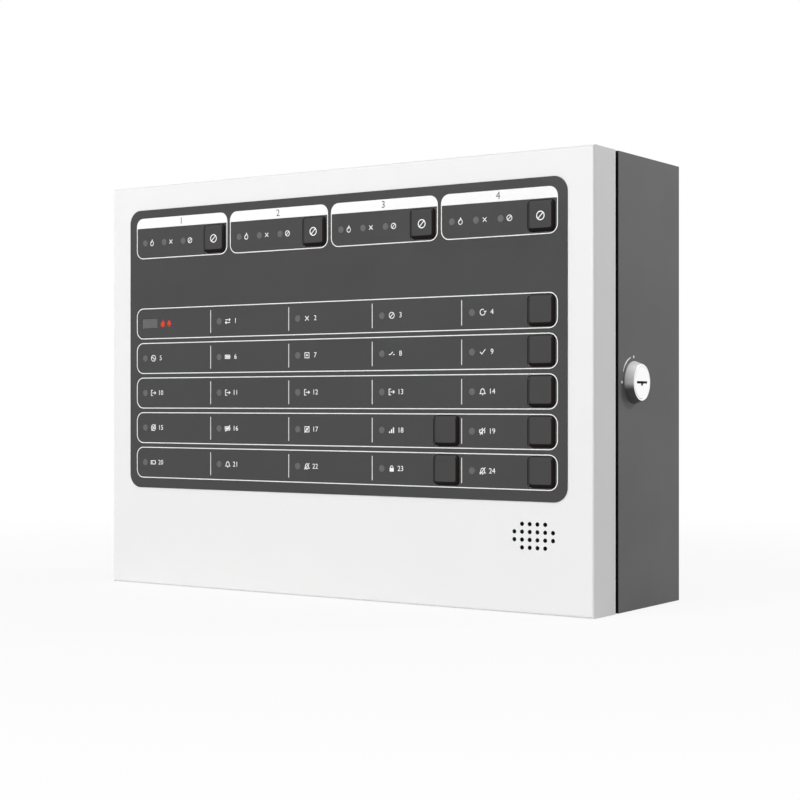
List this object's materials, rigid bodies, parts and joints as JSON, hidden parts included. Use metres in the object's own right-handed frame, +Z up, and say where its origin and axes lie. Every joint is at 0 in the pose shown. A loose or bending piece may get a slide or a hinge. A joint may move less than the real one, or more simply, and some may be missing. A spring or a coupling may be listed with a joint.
{
  "type": "fire alarm control panel",
  "caption": "Wall-mounted fire alarm control panel: dark steel box, hinged white door with a grey fascia of lamps and keys, sounder holes and a side cam lock.",
  "frame": {"origin": "centre of the back face, which lies on the wall", "axes": "+X to the right seen from the front, +Y into the wall, +Z up"},
  "size_m": [0.3357, 0.1036, 0.2415],
  "materials": {
    "box_paint": "satin powder coat, dark grey",
    "door_paint": "satin powder coat, white",
    "fascia_film": "matt printed polycarbonate film, dark grey",
    "key_plastic": "fine-textured moulded keys, dark grey",
    "lamp_lens": "smoked lamp windows",
    "led_epoxy": "clear epoxy",
    "lock_chrome": "bright chrome plate",
    "zinc_steel": "zinc plated",
    "supply_metal": "plain sheet",
    "brass": "plain",
    "board_green": "solder mask",
    "black_plastic": "moulded",
    "terminal_green": "moulded",
    "relay_blue": "moulded",
    "white_plastic": "moulded",
    "fuse_glass": "glass tube with metal caps",
    "battery_case": "moulded",
    "black_rubber": "matt"
  },
  "bodies": {
    "cabinet": {"back_box": "box_paint", "lock_housing": "lock_chrome", "hinge_brackets": "zinc_steel", "hinge_pins": "zinc_steel", "lock_nut": "zinc_steel", "board_pillars": "zinc_steel", "board_screws": "zinc_steel", "terminal_screws": "zinc_steel", "battery_strap": "zinc_steel", "strap_screws": "zinc_steel", "supply_case": "supply_metal", "earth_stud": "brass", "battery_tabs": "brass", "main_board": "board_green", "main_chips": "black_plastic", "capacitors": "black_plastic", "fuse_holders": "black_plastic", "main_header": "black_plastic", "supply_terminals": "black_plastic", "field_terminals": "terminal_green", "relays": "relay_blue", "mains_terminals": "white_plastic", "fuses": "fuse_glass", "battery_1": "battery_case", "battery_2": "battery_case", "door_seal": "black_rubber", "cable_grommets": "black_rubber"},
    "lock": {"lock_plug": "lock_chrome", "lock_cam": "zinc_steel", "cam_screw": "zinc_steel"},
    "door": {"door_shell": "door_paint", "fascia": "fascia_film", "zone_lamps": "lamp_lens", "status_lamps": "lamp_lens", "alarm_lamp": "lamp_lens", "display_board": "board_green", "display_leds": "led_epoxy", "key_switches": "black_plastic", "display_pillars": "zinc_steel", "display_nuts": "zinc_steel", "display_header": "black_plastic", "display_chips": "black_plastic", "sounder": "black_plastic", "sounder_gasket": "black_rubber", "sounder_clamp": "zinc_steel", "hinge_arms": "zinc_steel", "lock_strike": "zinc_steel", "door_earth_stud": "brass"},
    "zone_key_1": {"zone_key_1": "key_plastic"},
    "zone_key_2": {"zone_key_2": "key_plastic"},
    "zone_key_3": {"zone_key_3": "key_plastic"},
    "zone_key_4": {"zone_key_4": "key_plastic"},
    "control_key_1": {"control_key_1": "key_plastic"},
    "control_key_2": {"control_key_2": "key_plastic"},
    "control_key_3": {"control_key_3": "key_plastic"},
    "control_key_4": {"control_key_4": "key_plastic"},
    "control_key_5": {"control_key_5": "key_plastic"},
    "control_key_6": {"control_key_6": "key_plastic"},
    "control_key_7": {"control_key_7": "key_plastic"}
  },
  "joints": [
    {"name": "door_hinge", "type": "hinge", "parent": "cabinet", "child": "door", "pos_m": [-0.1585, -0.0667, 0], "axis": [0, 0, -1], "range_deg": [0, 105]},
    {"name": "lock_turn", "type": "hinge", "parent": "cabinet", "child": "lock", "pos_m": [0.1655, -0.0568, 0], "axis": [-1, 0, 0], "range_deg": [0, 90]},
    {"name": "zone_press_1", "type": "slide", "parent": "door", "child": "zone_key_1", "axis": [0, 1, 0], "range_m": [0, 0.001], "stiffness_N_per_m": 1500},
    {"name": "zone_press_2", "type": "slide", "parent": "door", "child": "zone_key_2", "axis": [0, 1, 0], "range_m": [0, 0.001], "stiffness_N_per_m": 1500},
    {"name": "zone_press_3", "type": "slide", "parent": "door", "child": "zone_key_3", "axis": [0, 1, 0], "range_m": [0, 0.001], "stiffness_N_per_m": 1500},
    {"name": "zone_press_4", "type": "slide", "parent": "door", "child": "zone_key_4", "axis": [0, 1, 0], "range_m": [0, 0.001], "stiffness_N_per_m": 1500},
    {"name": "control_press_1", "type": "slide", "parent": "door", "child": "control_key_1", "axis": [0, 1, 0], "range_m": [0, 0.001], "stiffness_N_per_m": 1500},
    {"name": "control_press_2", "type": "slide", "parent": "door", "child": "control_key_2", "axis": [0, 1, 0], "range_m": [0, 0.001], "stiffness_N_per_m": 1500},
    {"name": "control_press_3", "type": "slide", "parent": "door", "child": "control_key_3", "axis": [0, 1, 0], "range_m": [0, 0.001], "stiffness_N_per_m": 1500},
    {"name": "control_press_4", "type": "slide", "parent": "door", "child": "control_key_4", "axis": [0, 1, 0], "range_m": [0, 0.001], "stiffness_N_per_m": 1500},
    {"name": "control_press_5", "type": "slide", "parent": "door", "child": "control_key_5", "axis": [0, 1, 0], "range_m": [0, 0.001], "stiffness_N_per_m": 1500},
    {"name": "control_press_6", "type": "slide", "parent": "door", "child": "control_key_6", "axis": [0, 1, 0], "range_m": [0, 0.001], "stiffness_N_per_m": 1500},
    {"name": "control_press_7", "type": "slide", "parent": "door", "child": "control_key_7", "axis": [0, 1, 0], "range_m": [0, 0.001], "stiffness_N_per_m": 1500}
  ]
}
